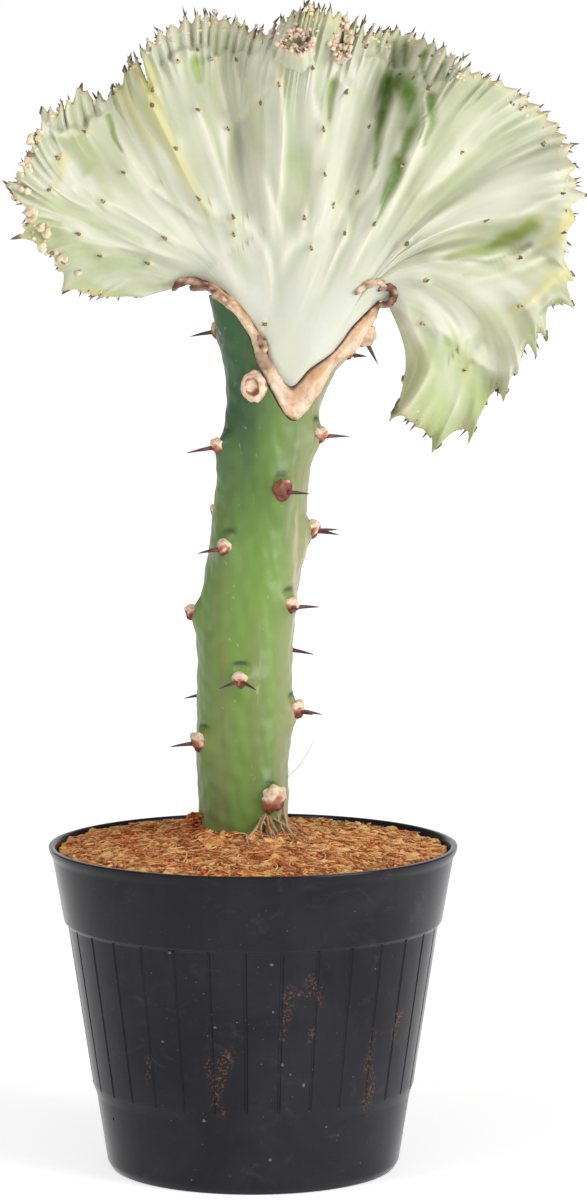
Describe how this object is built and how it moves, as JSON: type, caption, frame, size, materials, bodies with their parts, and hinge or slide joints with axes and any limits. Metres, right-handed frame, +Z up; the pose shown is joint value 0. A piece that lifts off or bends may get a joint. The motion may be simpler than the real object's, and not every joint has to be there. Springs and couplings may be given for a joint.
{
  "type": "potted coral cactus",
  "caption": "Grafted coral cactus: a pale waved fan-shaped crest on a spined green stock, standing in coir in a fluted black nursery pot.",
  "frame": {"origin": "centre of the flat underside of the pot, on the surface it stands on", "axes": "+Z up, +X to the right and +Y away from a viewer facing the broad side of the crest"},
  "size_m": [0.1876, 0.14, 0.3968],
  "materials": {
    "pot_plastic": "charcoal injection-moulded polypropylene, slightly glossy, with dust specks and dried soil stains low on one side",
    "coir": "loose orange-brown coconut coir, matte, with short fibres and darker crumbs",
    "stem_skin": "smooth waxy green skin, bluish at the top and greyer on one side, with pale flecks, corky cream shields and dark spines",
    "callus": "dried corky graft tissue, tan to pinkish beige, brown at its tips",
    "crest_skin": "waxy ghost-white skin shading to pale green, with yellow streaks, green hollows, pink-tan growing edge and small brown spines"
  },
  "bodies": {
    "root": {"pot": "pot_plastic", "soil": "coir", "rootstock": "stem_skin", "graft_callus": "callus", "crest": "crest_skin"}
  },
  "joints": []
}
